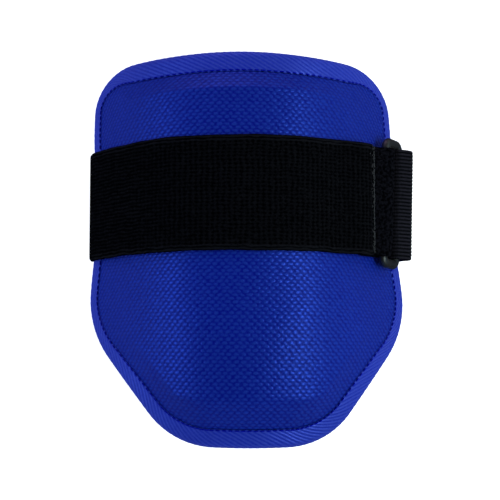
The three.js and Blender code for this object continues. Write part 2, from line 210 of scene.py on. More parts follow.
def walkTable(ring, inward, reach):
    # plan points met on the way in over the surface from each edge point, one row for each step of length
    at, rows = ring.copy(), [ring.copy()]
    for _ in range(int(np.ceil(reach / pad["walkStep"]))):
        ahead = at + inward * tiny
        rise = (vault(ahead[:, 0], ahead[:, 1]) - vault(at[:, 0], at[:, 1])) / tiny
        at = at + inward * (pad["walkStep"] / np.sqrt(1.0 + rise**2))[:, None]
        rows.append(at.copy())
    return np.stack(rows)


def planAt(table, column, distance):  # table read between its rows and columns; columns run round for ever
    count = table.shape[1]
    k = np.clip(distance / pad["walkStep"], 0, table.shape[0] - 1.001)
    row, low = np.floor(k).astype(int), np.floor(column).astype(int)
    down, over = (k - row)[..., None], (column - low)[..., None]
    first, second = low % count, (low + 1) % count
    near = table[row, first] * (1 - over) + table[row, second] * over
    far = table[row + 1, first] * (1 - over) + table[row + 1, second] * over
    return near * (1 - down) + far * down


def acrossLength(plan):  # length over the vault from the crest line, by Gauss points on each run from 0 to x
    node, weight = np.polynomial.legendre.leggauss(10)
    x = plan[..., 0, None] * (node + 1) / 2
    y = np.broadcast_to(plan[..., 1, None], x.shape)
    slope = (vault(x + tiny, y) - vault(x - tiny, y)) / (2 * tiny)
    return (np.sqrt(1 + slope**2) * weight).sum(axis=-1) * plan[..., 0] / 2


edgeLine, edgeIn, edgeLength = edgeRing(pad["spokes"])
stitchCount = int(round(edgeLength / tape["stitchPitch"]))


def makePad():
    # rows of spokes: lining from the spine out, round the edge, up the bevel, over the platform to the spine
    count = pad["spokes"]
    table = walkTable(edgeLine, edgeIn, padFoot + pad["bevelTip"] + pad["tuck"])
    column = np.arange(count, dtype=float)
    away = np.where(edgeIn[:, 1] < 0, pad["bevelTop"], pad["bevelTip"]) - pad["bevelSide"]
    bevel = pad["bevelSide"] + away * edgeIn[:, 1] ** 2
    crestPlan = planAt(table, column, padFoot + bevel)
    spine = joined(0.0, np.clip(crestPlan[:, 1], pad["spineLow"], pad["spineHigh"]))
    stitch = 0.5 + 0.5 * np.cos(2 * np.pi * stitchCount * column / count)
    flange = pad["flange"]
    tip = tape["thick"] + tape["gap"]
    plans, offsets = [], []

    def addRow(plan, offset):
        plans.append(plan)
        offsets.append(np.broadcast_to(offset, count))

    def reliefOf(plan):
        return blend(np.abs(plan[:, 0]), pad["reliefFrom"], pad["relief"], pad["reliefTo"], pad["reliefSide"])

    def bevelRise(f):  # straight slope that turns over just below the crest
        turn = pad["crestTurn"]
        return (turn * f - f**turn) / (turn - 1)

    def unevenOf(plan):  # foam that isn't quite even: two slow waves
        x, y = plan[:, 0], plan[:, 1]
        return pad["uneven"] * (np.sin(x / 9.1 + 1.3) * np.sin(y / 11.7) + 0.6 * np.sin(x / 5.3 - y / 7.1))

    for t in np.linspace(1.0, 0.0, pad["liningRows"]):
        addRow(crestPlan + t * (spine - crestPlan), -flange)
    for f in np.linspace(0.8, 0.0, 5):
        addRow(planAt(table, column, padFoot + f * bevel), -flange)
    for turn in np.radians(np.linspace(-90, 90, pad["noseRows"])):
        reach = tip + flange * (1 - np.cos(turn))
        addRow(planAt(table, column, np.full(count, reach)), flange * np.sin(turn))
    liningTo = len(plans) - pad["noseRows"] // 2 - 1  # up to the middle of the nose
    addRow(planAt(table, column, np.full(count, padFoot - pad["tuck"])), flange)
    even = np.linspace(0.0, 1.0, pad["bevelRows"])
    crowded = even - pad["crowding"] * np.sin(2 * np.pi * even) / (2 * np.pi)
    for f in crowded:  # finer steps at the foot and the crest
        plan = planAt(table, column, padFoot + f * bevel)
        dip = pad["pucker"] * stitch * np.exp(-f * bevel / pad["puckerReach"])
        foot = pad["swell"] * blend(f * bevel, 0.0, pad["swellFoot"], pad["swellReach"], 1.0)
        rise = foot + (reliefOf(plan) - foot) * bevelRise(f)
        addRow(plan, flange + rise + unevenOf(plan) * smooth(2 * f) - dip)
    for t in np.linspace(0.0, 1.0, pad["platformRows"] + 1)[1:]:
        plan = crestPlan + t * (spine - crestPlan)
        addRow(plan, flange + reliefOf(plan) + unevenOf(plan))
    plan = closeRound(np.stack(plans))
    points = closeRound(padPoint(np.stack(plans), np.stack(offsets)))
    uv = joined(acrossLength(plan), plan[..., 1])
    faces = gridFaces(*points.shape[:2])
    lining = np.repeat(np.arange(len(plans) - 1) < liningTo, count).astype(int)
    return points, faces, uv, lining


padGrid, padFaces, padUv, padLining = makePad()
padShell = addPiece("padded_shell", padGrid.reshape(-1, 3), padFaces, padUv.reshape(-1, 2), padLining)
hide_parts("pad_shell")


# edge binding: twill tape folded over the flange, its ridges real folds in the mesh

tapeTable = walkTable(edgeLine, edgeIn, tape["width"] + 1)
tapeLeg = tape["width"] - tapeOuter
tapeSpan = 2 * tapeLeg + np.pi * tapeOuter


def tapeAt(along, across, lift):
    # tape surface: along the edge, across from the inner rim over the nose to the back rim, and lift above it
    turn = np.clip((across - tapeLeg) / tapeOuter, 0.0, np.pi)
    front = np.maximum(tapeLeg - across, 0.0)
    back = np.maximum(across - tapeLeg - np.pi * tapeOuter, 0.0)
    distance = tapeOuter + front + back - (tapeOuter + lift) * np.sin(turn)
    offset = (tapeOuter + lift) * np.cos(turn)
    column = along / edgeLength * len(edgeLine)
    plan = planAt(tapeTable, column, np.maximum(distance, 0.0))
    out = np.minimum(distance, 0.0)
    spot = padPoint(plan, offset)
    low = np.floor(column).astype(int) % len(edgeLine)
    spot[..., 0] += edgeIn[low, 0] * out
    spot[..., 1] += edgeIn[low, 1] * out
    return spot


def makeTape():
    # columns lean with the twill, so each ridge keeps its own columns all the way over the nose
    ridges = int(round(edgeLength * np.sin(np.radians(tape["twillAngle"])) / tape["twillPitch"]))
    columns = ridges * tape["perRidge"]
    rim = tape["edgeRound"] * np.array([0.0, 0.08, 0.25, 0.55, 1.0])
    middle = np.linspace(rim[-1], tapeSpan - rim[-1], tape["rows"])[1:-1]
    across = np.concatenate([rim, middle, (tapeSpan - rim)[::-1]])
    start = np.arange(columns + 1) * edgeLength / columns
    skew = -1.0 / np.tan(np.radians(tape["twillAngle"]))
    along = start[None, :] + skew * (across[:, None] - tapeSpan / 2)
    fromRim = np.minimum(across, tapeSpan - across)[:, None]
    rounding = np.clip(1.0 - fromRim / tape["edgeRound"], 0.0, 1.0)
    stitch = 0.5 + 0.5 * np.cos(2 * np.pi * stitchCount * along / edgeLength)
    ridge = 0.5 + 0.5 * np.cos(2 * np.pi * ridges * np.arange(columns + 1) / columns)
    lift = tape["twillHeight"] * (ridge[None, :] - 0.5) * smooth(fromRim / tape["twillFade"])
    lift = lift - tape["edgeDrop"] * (1.0 - np.sqrt(1.0 - rounding**2))
    sewn = np.exp(-(((fromRim - tape["stitchIn"]) / tape["dimpleReach"]) ** 2))
    lift = lift - tape["dimple"] * (0.55 + 0.45 * stitch) * sewn
    inward = tape["scallop"] * (0.5 - stitch) * np.exp(-((fromRim / tape["scallopReach"]) ** 2))
    drawn = across[:, None] + np.where(across[:, None] < tapeSpan / 2, inward, -inward)
    outer = tapeAt(along, drawn, lift)
    hiddenAcross = np.linspace(tapeSpan, 0.0, tape["hiddenRows"])[:, None]
    hiddenAlong = start[None, :] + skew * (hiddenAcross - tapeSpan / 2)
    hidden = tapeAt(hiddenAlong, np.broadcast_to(hiddenAcross, hiddenAlong.shape), -tape["thick"])
    points = np.concatenate([outer, hidden, outer[:1]])
    # the map counts ridges along and millimetres across
    ridgeNumber = np.arange(columns + 1)[None, :] / tape["perRidge"]
    uvOuter = joined(ridgeNumber, across[:, None])
    uvHidden = joined(ridgeNumber, hiddenAcross)
    uv = np.concatenate([uvOuter, uvHidden, uvOuter[:1]])
    return points, gridFaces(*points.shape[:2]), uv


tapeGrid, tapeFaces, tapeUv = makeTape()
edgeTape = addPiece("edge_tape", tapeGrid.reshape(-1, 3), tapeFaces, tapeUv.reshape(-1, 2))
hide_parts("edge_binding")


# sewn threads: many short arched dashes in one mesh

def threadDashes(name, middle, way, up, length, radius, arch, steps=7, sides=6):
    # each dash is a spindle: radius * sqrt(1 - a^4) round a line that bows up by arch * (1 - a^2)
    a = np.linspace(-1.0, 1.0, steps)
    turn = np.linspace(0.0, 2 * np.pi, sides + 1)
    many = len(middle)
    length, radius, arch = (np.broadcast_to(size, many)[:, None] for size in (length, radius, arch))
    side = np.cross(up, way)
    thick = radius * np.sqrt(np.maximum(1.0 - a**4, 0.0))
    spine = way[:, None, :] * (length / 2 * a)[..., None] + up[:, None, :] * (arch * (1 - a**2))[..., None]
    spoke = up[:, None, :] * np.cos(turn)[:, None] + side[:, None, :] * np.sin(turn)[:, None]
    points = (middle[:, None, :] + spine)[:, :, None, :] + spoke[:, None, :, :] * thick[:, :, None, None]
    one = gridFaces(steps, sides + 1)
    faces = (one[None, :, :] + (np.arange(many) * steps * (sides + 1))[:, None, None]).reshape(-1, 4)
    uv = joined((length / 2 * a)[:, :, None], (radius * turn)[:, None, :])
    return addPiece(name, points.reshape(-1, 3), faces, uv.reshape(-1, 2))


def tapeStitches():  # one dash over each hollow of the rim, front and back
    along = (np.arange(stitchCount) + 0.5) * edgeLength / stitchCount
    rows = []
    for row in (tape["stitchIn"], tapeSpan - tape["stitchIn"]):
        across = np.full(stitchCount, row)
        behind, middle, ahead = (
            tapeAt(along + shift, across, -tape["stitchSink"]) for shift in (-0.6, 0.0, 0.6))
        above = tapeAt(along, across, 0.9)
        rows.append((middle, unit(ahead - behind), unit(above - middle)))
    return [np.concatenate(part) for part in zip(*rows)]


seamThreads = threadDashes(
    "binding_stitches", *tapeStitches(), tape["stitchLength"], tape["stitchRadius"], tape["stitchSink"])


# taut way round the pad: the support line of its section, which all the bands follow

band = {
    "midY": 24.5, "seatGap": 0.35, "layGap": 0.3, "rod": 2.15,
    "strapWidth": 50.0, "strapThick": 1.8, "strapEnd": 10.7, "strapRamp": 32.0, "strapEndX": 57.0,
    "tabWidth": 49.8, "tabThick": 1.6, "tabReturn": 14.0, "tabLanding": 7.8, "tabLap": 16.0,
    "webWidth": 50.5, "webThick": 1.5, "webReturn": 5.5, "webWrap": 160.0, "webSlack": 12.0, "webTuck": 0.6,
    "webRiseX": 64.0, "webRise": 6.0, "webLapEnd": 34.0, "webLandAt": -1.0, "webReach": -30.0,
    "webCrown": 75.0,
    "innerBarX": 62.8, "ringPitch": 10.3, "ringSkew": 0.069,
    "barFrom": 10.0, "barTo": 80.0, "barStep": 0.02, "turns": 2881,
    "endRound": 0.6, "rimPower": 36, "wander": 0.1,
}
bandY = pad["axisY"] + band["midY"]
floorSeat = band["strapThick"] + band["seatGap"]
measureLift = band["seatGap"] + 1.0


def tautPath():
    # for each outward direction, the section point that lies farthest that way carries the band
    edge, across = np.meshgrid(np.arange(0, edgeLength, 1.0), np.linspace(0, tapeSpan, 40))
    every = np.vstack([padGrid[:, ::4].reshape(-1, 3), tapeAt(edge, across, 0.0).reshape(-1, 3)])
    under = every[np.abs(every[:, 1] - bandY) < band["strapWidth"] / 2][:, [0, 2]]
    low = [under[under[:, 0] * sign > 0] for sign in (-1, 1)]
    level = [[part[part[:, 1].argmin(), 0], floorSeat] for part in low]
    under = np.vstack([under, level])
    angle = np.radians(np.linspace(0.0, 360.0, band["turns"]))
    out = joined(np.cos(angle), np.sin(angle))
    best = np.concatenate([np.argmax(under @ part.T, axis=0) for part in np.array_split(out, 48)])
    seat = under[best]
    return seat, angle, lengthAlong(seat + out * measureLift)


pathSeat, pathAngle, pathAlong = tautPath()
pathLength = pathAlong[-1]


def over(length, lift):  # point at a length round the path, lifted off the seat
    at = np.mod(length, pathLength)
    turn = np.interp(at, pathAlong, pathAngle)
    out = joined(np.cos(turn), np.sin(turn))
    return lineAt(at, pathAlong, pathSeat) + out * np.asarray(lift)[..., None]


def ringBars():
    # inner bar where the path comes in to its set width, outer bar one pitch farther down the side
    innerLift = band["seatGap"] + band["tabThick"] + band["layGap"] + band["rod"]
    outerLift = band["seatGap"] + band["webThick"] + band["layGap"] + band["rod"]
    up = np.arange(band["barFrom"], band["barTo"], band["barStep"])
    inner = up[np.argmax(over(up, innerLift)[:, 0] <= band["innerBarX"] + pad["axisX"])]
    bar = over(inner, innerLift)
    down = inner - np.arange(0.0, 4 * band["ringPitch"], band["barStep"])
    outer = down[np.argmax(np.linalg.norm(over(down, outerLift) - bar, axis=1) >= band["ringPitch"])]
    return inner, bar, outer, over(outer, outerLift)


innerAt, innerBar, outerAt, outerBar = ringBars()
ringWay = unit(outerBar - innerBar)


def slid(y):  # the ring hangs a little askew: it slides down the side towards its upper end
    return band["ringSkew"] * y


def evenLine(points, count):  # the same line in even steps, with finer steps at its two ends
    along = lengthAlong(points)
    fine = np.array([0.0, 0.06, 0.18, 0.36, 0.6])
    middle = np.linspace(fine[-1], along[-1] - fine[-1], count)[1:-1]
    want = np.concatenate([fine, middle, (along[-1] - fine)[::-1]])
    behind, line, ahead = (lineAt(want + shift, along, points) for shift in (-0.4, 0.0, 0.4))
    return line, unit(ahead - behind), want


def makeBand(name, routeAt, width, thick, acrossCount, step, relief):
    # flat band between the routes of its two rims: top across, bottom back, closed at the rims and ends
    routes = [routeAt(side * width / 2) for side in (-1, 1)]
    count = int(lengthAlong(routes[0])[-1] / step)
    (lowLine, lowWay, along), (highLine, highWay, _) = (evenLine(route, count) for route in routes)
    share = np.linspace(-1.0, 1.0, acrossCount)
    share = 0.8 * share + 0.2 * np.sin(share * np.pi / 2)
    share = np.concatenate([share, share[::-1]])
    side = np.repeat([1.0, -1.0], acrossCount)
    ends = np.minimum(along, along[-1] - along)
    closing = np.sqrt(1.0 - np.clip(1.0 - ends / band["endRound"], 0.0, 1.0) ** 2)
    rims = np.sqrt(np.maximum(1.0 - np.abs(share) ** band["rimPower"], 0.0))
    s, y = along[:, None], share[None, :] * width / 2
    half = (thick / 2 + relief(s, y)) * closing[:, None] * rims[None, :]
    wander = band["wander"] * (np.sin(s / 7.3) + 0.7 * np.sin(s / 3.1 + 1.0))
    part = (share[None, :, None] + 1.0) / 2
    way = unit(lowWay[:, None, :] * (1 - part) + highWay[:, None, :] * part)
    normal = joined(-way[..., 1], way[..., 0])
    flat = lowLine[:, None, :] * (1 - part) + highLine[:, None, :] * part
    flat = flat + normal * (side[None, :] * half)[..., None]
    deep = bandY + y + wander * share[None, :] ** 3
    points, uv = closeRound(joined(flat[..., 0], deep, flat[..., 1])), closeRound(joined(s, y))
    return addPiece(name, points.reshape(-1, 3), gridFaces(*points.shape[:2]), uv.reshape(-1, 2))


# hook tab: beneath the strap's end, over the inner bar and back under itself

tabLow = band["seatGap"] + band["tabThick"] / 2
tabHigh = tabLow + band["tabThick"] + band["layGap"]


def tabRoute(y):
    at, bar = innerAt - slid(y), innerBar + ringWay * slid(y)
    turnRadius = band["rod"] + band["layGap"] + band["tabThick"] / 2
    back = np.linspace(band["tabReturn"], 1.0, 60)
    lap = np.linspace(band["tabLanding"], band["tabLap"], 40)
    foot = unit(over(at, tabLow) - bar) * turnRadius
    toLanding = over(at + band["tabLanding"], tabHigh) - bar
    reach = np.arccos(turnRadius / np.linalg.norm(toLanding))
    leave = np.arctan2(toLanding[1], toLanding[0]) - reach
    sweep = np.mod(leave - np.arctan2(foot[1], foot[0]), 2 * np.pi)
    return np.vstack([
        over(at + back, tabLow),
        arcAbout(bar, foot, sweep, 80),
        over(at + lap, tabHigh)])


def tabRelief(s, y):  # brushed pile that lies a little uneven
    return 0.05 * np.sin(s / 1.9 + y / 2.7) * np.sin(y / 1.3) + 0.04 * np.sin(s / 3.7 - y / 5.1)


hookTab = makeBand(
    "hook_tab_pile", tabRoute, band["tabWidth"], band["tabThick"], acrossCount=90, step=0.5, relief=tabRelief)
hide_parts("hook_tab")


# elastic strap: its end lies on the tab, then over the dome, round the far edge and back along the floor

elastic = {
    "ribPitch": 2.42, "ribHeight": 0.17, "ribFar": 0.2, "selvage": 2.5, "selvageEase": 0.7,
    "drawFrom": 92.0, "drawTo": 125.0, "draw": 0.15, "drawFar": 0.85,
    # these levels paint the knit tone darker along the far side of the dome: painted shade
    "shadeFrom": 60.0, "level": 0.74, "shadedLevel": 0.44, "bodyShare": 0.5,
}
strapOnTab = tabHigh + band["tabThick"] / 2 + band["layGap"] + band["strapThick"] / 2
strapSeat = band["seatGap"] + band["strapThick"] / 2


def strapLift(s):
    return blend(s, band["tabLap"], strapOnTab, band["strapRamp"], strapSeat)


def strapRoute(y):  # the same at both rims
    s = np.arange(band["strapEnd"], pathLength, 0.2)
    line = over(innerAt + s, strapLift(s))
    turn = line[:, 0].argmin()
    stop = turn + np.argmax(line[turn:, 0] > band["strapEndX"] + pad["axisX"])
    return line[:stop]


def strapRelief(s, y):  # cross ribs that stop at the selvages and flatten out on the far side
    inside = smooth((band["strapWidth"] / 2 - elastic["selvage"] - np.abs(y)) / elastic["selvageEase"])
    inside = inside * blend(s, elastic["drawFrom"], 1.0, elastic["drawTo"], elastic["ribFar"])
    middle = blend(s, elastic["drawFrom"], 0.6, elastic["drawTo"], 1.0)  # none stands out on the floor
    return elastic["ribHeight"] * (np.abs(np.cos(np.pi * s / elastic["ribPitch"])) - middle) * inside


elasticStrap = makeBand(
    "elastic_strap_band", strapRoute, band["strapWidth"], band["strapThick"],
    acrossCount=40, step=0.375, relief=strapRelief)
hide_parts("elastic_strap")


# webbing loop: round the outer bar, down the side, under the edge and onto the strap

webbing = {"ribPitch": 1.635, "ribHeight": 0.24, "ribMiddle": 0.7, "rimEase": 0.8, "foldShadeShare": 0.68}
webLow = band["seatGap"] + band["webThick"] / 2


def webRoute(y):
    at, bar = outerAt - slid(y), outerBar + ringWay * slid(y)
    turnRadius = band["rod"] + band["layGap"] + band["webThick"] / 2
    foot = unit(over(at, webLow) - bar) * turnRadius
    wrap = arcAbout(bar, foot, -np.radians(band["webWrap"]), 80)
    crown = np.mod(np.arctan2(foot[1], foot[0]), 2 * np.pi) - np.radians(band["webCrown"])
    webbing["fold"] = band["webReturn"] + turnRadius * crown  # length at which the fold turns over
    leave = unit(wrap[-1] - wrap[-2])
    land = over(band["webLandAt"], webLow)
    arrive = unit(over(band["webLandAt"] - 0.4, webLow) - land)
    slack = wrap[-1] + leave * band["webSlack"]
    tucked = land - arrive * band["webSlack"] * band["webTuck"]
    t = np.linspace(0.0, 1.0, 60)[1:-1, None]
    side = wrap[-1] * (1 - t) ** 3 + 3 * slack * t * (1 - t) ** 2 + 3 * tucked * t**2 * (1 - t) + land * t**3
    under = over(np.linspace(band["webLandAt"], band["webReach"], 160), webLow)
    riseX = band["webRiseX"] + pad["axisX"]
    under = under[under[:, 0] > riseX]
    lapHeight = band["strapThick"] + band["layGap"] + band["webThick"] / 2
    rise = np.linspace(0.0, 1.0, 30)
    climb = joined(riseX - band["webRise"] * rise, blend(rise, 0, floorSeat - webLow, 1, lapHeight))
    end = np.array([[band["webLapEnd"] + pad["axisX"], lapHeight]])
    back = over(at - np.linspace(band["webReturn"], 0.5, 30), webLow)
    return np.vstack([back, wrap, side, under, climb[1:], end])


def webRelief(s, y):  # lengthwise ribs, round on top with sharp valleys, plain at the very rims
    inside = smooth((band["webWidth"] / 2 - np.abs(y)) / webbing["rimEase"])
    rib = np.abs(np.cos(np.pi * y / webbing["ribPitch"]))
    return webbing["ribHeight"] * (rib - webbing["ribMiddle"]) * inside


ringLoop = makeBand(
    "ring_loop_webbing", webRoute, band["webWidth"], band["webThick"],
    acrossCount=226, step=0.7, relief=webRelief)
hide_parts("ring_loop")


# strap ring: moulded rod bent to a rounded rectangle, with a faint parting line

ring = {"window": 50.8, "corner": 2.5, "parting": 0.05, "partingReach": 0.09, "flatten": 0.05,
        "straight": 24, "bend": 12, "around": 48}


def makeRing():
    # centre line of four quarter arcs and straight bars; the section is a circle with slightly flat crowns
    middle = (innerBar + outerBar) / 2
    halfU = np.linalg.norm(outerBar - innerBar) / 2
    halfV = ring["window"] / 2 + band["rod"]
    r = ring["corner"]
    turn = np.radians(np.linspace(0.0, 90.0, ring["bend"]))
    u, v, face = [], [], []
    for signU, signV, start in ((1, 1, 0.0), (-1, 1, 90.0), (-1, -1, 180.0), (1, -1, 270.0)):
        a = np.radians(start) + turn
        u.append(signU * (halfU - r) + r * np.cos(a))
        v.append(signV * (halfV - r) + r * np.sin(a))
        face.append(a)
    u, v, face = (np.concatenate(part) for part in (u, v, face))
    u, v, face = (np.append(part, part[0]) for part in (u, v, face))
    face[-1] += 2 * np.pi
    at = np.concatenate([np.linspace(k, k + 1, 2 if (k + 1) % ring["bend"] else ring["straight"])[:-1]
                         for k in range(len(u) - 1)] + [[len(u) - 1.0]])
    u, v, face = (np.interp(at, np.arange(len(part)), part) for part in (u, v, face))
    b = np.linspace(0.0, 2 * np.pi, ring["around"] + 1)
    rod = band["rod"] * (1.0 - ring["flatten"] * np.sin(b) ** 4)
    rod = rod + ring["parting"] * np.exp(-((np.sin(b) / ring["partingReach"]) ** 2))
    out = (rod * np.cos(b))[None, :]
    across = u[:, None] + out * np.cos(face)[:, None]
    y = v[:, None] + out * np.sin(face)[:, None] - slid(across)
    ahead = across + slid(y)
    lift = np.broadcast_to((rod * np.sin(b))[None, :], across.shape)
    x = middle[0] + ringWay[0] * ahead - ringWay[1] * lift
    z = middle[1] + ringWay[1] * ahead + ringWay[0] * lift
    points = joined(x, bandY + y, z)
    return points.reshape(-1, 3), gridFaces(*points.shape[:2])


strapRing = addPiece("strap_ring_moulding", *makeRing())
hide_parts("strap_ring")


# frayed thread on the strap's end, light grey, also standing in for the highlight along its cut edge: a
# painted highlight

sewing = {
    "endCount": 320, "endIn": 0.15, "endDeep": 0.6, "endLength": 1.0, "endRadius": 0.15, "endRim": 0.8,
    "arch": 0.15, "lapPitch": 3.0, "lapRows": (38.0, 50.0), "lapRim": 2.5, "lapLength": 2.3,
    "lapRadius": 0.25,
}
chance = np.random.default_rng(11)


def stripPoints(s, y, lift):  # points on the strap's top, s from its end
    at = band["strapEnd"] + s
    line = over(innerAt + at, strapLift(at) + band["strapThick"] / 2 + lift)
    return joined(line[..., 0], bandY + y, line[..., 1])


def stripWays(s, y):  # directions along the strap's top and up from it
    middle = stripPoints(s, y, 0.0)
    return unit(stripPoints(s + 0.3, y, 0.0) - middle), unit(stripPoints(s, y, 1.0) - middle)


def leaning(along, lean):  # direction turned by an angle from along the strap to across it
    return along * np.cos(lean)[:, None] + np.array([0.0, 1.0, 0.0]) * np.sin(lean)[:, None]


def endStitches():
    # frayed threads: dense at the very end, thinning out farther in, more of them towards the upper rim
    many = sewing["endCount"]
    rim = band["strapWidth"] / 2 - sewing["endRim"]
    y = rim * np.sort(2.0 * chance.random(many) ** 0.9 - 1.0)
    s = sewing["endIn"] + sewing["endDeep"] * chance.exponential(1.0, many) * blend(y, 5.0, 0.7, 22.0, 1.5)
    lean = chance.uniform(-0.5, 0.5, many)
    along, up = stripWays(s, y)
    length = sewing["endLength"] * chance.uniform(0.5, 1.4, many)
    radius = sewing["endRadius"] * chance.uniform(0.6, 1.4, many)
    return stripPoints(s, y, 0.05), leaning(along, np.pi / 2 - lean), up, length, radius, sewing["arch"]


endThreads = threadDashes("strap_end_threads_and_highlight", *endStitches())


# loop pile: small loops in rows on the strap's outer face, each a little out of line

pile = {"alongPitch": 2.42, "acrossPitch": 1.62, "from": 1.6, "reach": 158.0, "rim": 2.4,
        "jitter": 0.3, "kept": 0.8, "lean": 0.5, "span": 1.15, "height": 0.3, "radius": 0.09}


def pileLoops():
    rim = band["strapWidth"] / 2 - pile["rim"]
    rows = np.arange(pile["from"], pile["reach"], pile["alongPitch"])
    columns = np.arange(-rim, rim, pile["acrossPitch"])
    s, y = (part.ravel() for part in np.meshgrid(rows, columns))
    stay = chance.random(len(s)) < pile["kept"]
    s, y = s[stay], y[stay]
    many = len(s)
    s = s + pile["jitter"] * chance.standard_normal(many)
    y = y + 0.5 * pile["jitter"] * chance.standard_normal(many)
    lean = pile["lean"] * chance.standard_normal(many)
    along, up = stripWays(s, y)
    size = chance.uniform(0.6, 1.35, (3, many))
    return (stripPoints(s, y, 0.0), leaning(along, lean), up,
            pile["span"] * size[0], pile["radius"] * size[1], pile["height"] * size[2])


strapPile = threadDashes("strap_loop_pile", *pileLoops(), steps=5, sides=4)


# two rows of thread that hold the webbing on the strap

def lapStitches():
    y = np.arange(sewing["lapRim"] - band["webWidth"] / 2, band["webWidth"] / 2 - 2, sewing["lapPitch"])
    height = band["strapThick"] + band["layGap"] + band["webThick"]
    middle = np.concatenate([joined(x + pad["axisX"], bandY + y, height) for x in sewing["lapRows"]])
    return middle, np.tile([0.0, 1.0, 0.0], (len(middle), 1)), np.tile([0.0, 0.0, 1.0], (len(middle), 1))


lapThreads = threadDashes(
    "lap_stitches", *lapStitches(), sewing["lapLength"], sewing["lapRadius"], sewing["arch"])


# shader helpers

def fill(tree, node, values):  # inputs of a node: sockets are linked, plain values are set
    for title, value in values.items():
        if isinstance(value, bpy.types.NodeSocket):
            tree.links.new(value, node.inputs[title])
        elif value is not None:
            node.inputs[title].default_value = value


def addNode(tree, kind, values, **settings):  # new shader node: its settings, then its inputs
    node = tree.nodes.new("ShaderNode" + kind)
    for title, value in settings.items():
        setattr(node, title, value)
    fill(tree, node, values)
    return node.outputs


def mathNode(tree, operation, first, second=None):
    return addNode(tree, "Math", {0: first, 1: second}, operation=operation)[0]


def times(tree, first, second):
    return mathNode(tree, "MULTIPLY", first, second)


def plus(tree, first, second):
    return mathNode(tree, "ADD", first, second)


def minus(tree, first, second):
    return mathNode(tree, "SUBTRACT", first, second)


def splitNode(tree, where):  # X, Y and Z of a vector
    return addNode(tree, "SeparateXYZ", {0: where})


def newGroup(name, inputs, outputs):
    tree = bpy.data.node_groups.new(name, "ShaderNodeTree")
    for title, kind, value in inputs:
        socket = tree.interface.new_socket(title, in_out="INPUT", socket_type=kind)
        if value is not None:
            socket.default_value = value
    for title, kind in outputs:
        tree.interface.new_socket(title, in_out="OUTPUT", socket_type=kind)
    return tree, tree.nodes.new("NodeGroupInput").outputs, tree.nodes.new("NodeGroupOutput").inputs


number, vector, colour = "NodeSocketFloat", "NodeSocketVector", "NodeSocketColor"


def noiseNode(tree, where, scale, detail=2.0, rough=0.5):
    values = {"Vector": where, "Scale": scale, "Detail": detail, "Roughness": rough}
    return addNode(tree, "TexNoise", values)["Fac"]


def rangeNode(tree, value, fromLow, fromHigh, toLow, toHigh):
    values = {"Value": value, "From Min": fromLow, "From Max": fromHigh, "To Min": toLow, "To Max": toHigh}
    return addNode(tree, "MapRange", values)["Result"]


# basket weave: cos(2 pi u / across) * cos(pi v / along) and its rows on the millimetre map; towards the
# sides one of its two diagonals grows stronger in colour and in bump, as painted shade of light falling from
# one side
def weaveGroup():
    tree, given, put = newGroup(
        "basketWeave",
        (("Cloth", vector, None), ("Across", number, 2.84), ("Along", number, 1.5), ("Sharp", number, 0.9),
         ("Rows", number, 0.4), ("ShadeLean", number, 0.42), ("LeanReach", number, 40.0), ("Fibre", number, 0.18)),
        (("Height", number), ("Float", number)))
    place = splitNode(tree, given["Cloth"])
    wobble = noiseNode(tree, given["Cloth"], 0.35, 1.0)
    u = mathNode(tree, "DIVIDE", place["X"], given["Across"])
    v = mathNode(tree, "DIVIDE", place["Y"], given["Along"])
    shift = times(tree, minus(tree, wobble, 0.5), 0.5)
    u = plus(tree, u, shift)
    v = plus(tree, v, shift)
    turnU, turnV = times(tree, u, 2 * np.pi), times(tree, v, np.pi)
    wave = times(tree, mathNode(tree, "COSINE", turnU), mathNode(tree, "COSINE", turnV))
    cross = times(tree, mathNode(tree, "SINE", turnU), mathNode(tree, "SINE", turnV))
    aside = mathNode(tree, "DIVIDE", place["X"], given["LeanReach"])
    # painted shade: the cross term darkens one diagonal on the left and the other on the right, as side light
    # would
    lean = times(tree, rangeNode(tree, aside, -1.0, 1.0, 1.0, -1.0), given["ShadeLean"])
    wave = plus(tree, wave, times(tree, cross, lean))
    rows = mathNode(tree, "COSINE", times(tree, v, 2 * np.pi))
    wave = plus(tree, wave, times(tree, rows, given["Rows"]))
    full = rangeNode(tree, wave, times(tree, given["Sharp"], -1.0), given["Sharp"], 0.0, 1.0)
    fibre = noiseNode(tree, given["Cloth"], 4.5, 2.0)
    tree.links.new(plus(tree, times(tree, fibre, given["Fibre"]), full), put["Height"])
    tree.links.new(full, put["Float"])
    return tree


# thread lines: cos of the map turned by an angle, for twisted yarn, tape threads and ribs; on the tape and
# the webbing their tone is painted shade in the ridge valleys
def threadGroup():
    tree, given, put = newGroup(
        "threadLines",
        (("Cloth", vector, None), ("Pitch", number, 1.0), ("Turn", number, 0.0), ("Wander", number, 0.9),
         ("Sharp", number, 1.0)),
        (("Height", number),))
    turned = addNode(tree, "VectorRotate", {"Vector": given["Cloth"], "Angle": given["Turn"]},
                     rotation_type="Z_AXIS")
    along = splitNode(tree, turned[0])["X"]
    wobble = times(tree, noiseNode(tree, given["Cloth"], 0.6, 1.0), given["Wander"])
    phase = plus(tree, mathNode(tree, "DIVIDE", along, given["Pitch"]), wobble)
    wave = mathNode(tree, "COSINE", times(tree, phase, 2 * np.pi))
    level = rangeNode(tree, wave, times(tree, given["Sharp"], -1.0), given["Sharp"], 0.0, 1.0)
    tree.links.new(level, put["Height"])
    return tree


